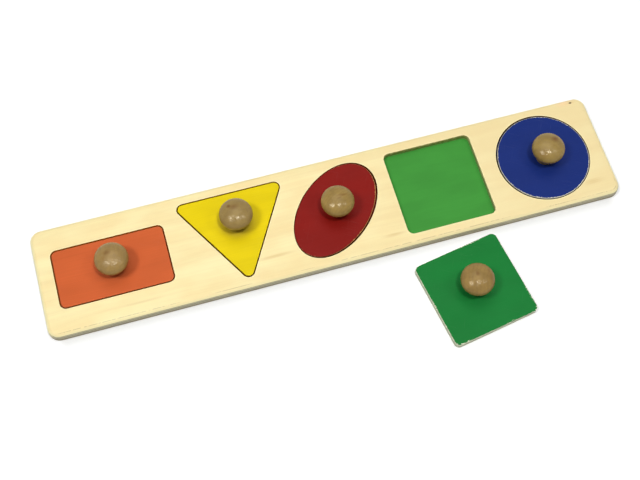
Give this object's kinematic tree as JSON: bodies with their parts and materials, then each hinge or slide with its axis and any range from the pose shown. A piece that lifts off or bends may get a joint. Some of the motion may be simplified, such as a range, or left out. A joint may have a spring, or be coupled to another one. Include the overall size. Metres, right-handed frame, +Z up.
{
  "type": "peg puzzle",
  "caption": "Long wooden peg puzzle: painted rectangle, triangle, oval, square and circle with turned knobs, in recesses of one board; the square lies in front of it.",
  "frame": {"origin": "middle of the board's underside, on the surface it rests on", "axes": "+X along the row from the rectangle to the circle, +Y to the back of the board, +Z up"},
  "size_m": [0.516, 0.1983, 0.0343],
  "materials": {
    "board_plywood": "pale plywood, clear satin lacquer",
    "knob_beech": "turned beech, satin varnish",
    "screw_steel": "zinc plated",
    "orange_paint": "plywood with satin paint on its top face",
    "yellow_paint": "plywood with satin paint on its top face",
    "red_paint": "plywood with satin paint on its top face",
    "green_paint": "plywood with satin paint on its top face",
    "blue_paint": "plywood with satin paint on its top face"
  },
  "bodies": {
    "board": {"frame_board": "board_plywood", "backing_board": "board_plywood"},
    "rectangle_piece": {"rectangle_insert": "orange_paint", "rectangle_knob": "knob_beech", "rectangle_screw": "screw_steel"},
    "triangle_piece": {"triangle_insert": "yellow_paint", "triangle_knob": "knob_beech", "triangle_screw": "screw_steel"},
    "oval_piece": {"oval_insert": "red_paint", "oval_knob": "knob_beech", "oval_screw": "screw_steel"},
    "square_piece": {"square_insert": "green_paint", "square_knob": "knob_beech", "square_screw": "screw_steel"},
    "circle_piece": {"circle_insert": "blue_paint", "circle_knob": "knob_beech", "circle_screw": "screw_steel"}
  },
  "joints": [
    {"name": "rectangle_lift", "type": "slide", "parent": "board", "child": "rectangle_piece", "axis": [0, 0, 1], "range_m": [0, 0.05]},
    {"name": "triangle_lift", "type": "slide", "parent": "board", "child": "triangle_piece", "axis": [0, 0, 1], "range_m": [0, 0.05]},
    {"name": "oval_lift", "type": "slide", "parent": "board", "child": "oval_piece", "axis": [0, 0, 1], "range_m": [0, 0.05]},
    {"name": "square_lift", "type": "slide", "parent": "board", "child": "square_piece", "axis": [0, 0, 1], "range_m": [0, 0.05]},
    {"name": "circle_lift", "type": "slide", "parent": "board", "child": "circle_piece", "axis": [0, 0, 1], "range_m": [0, 0.05]}
  ]
}
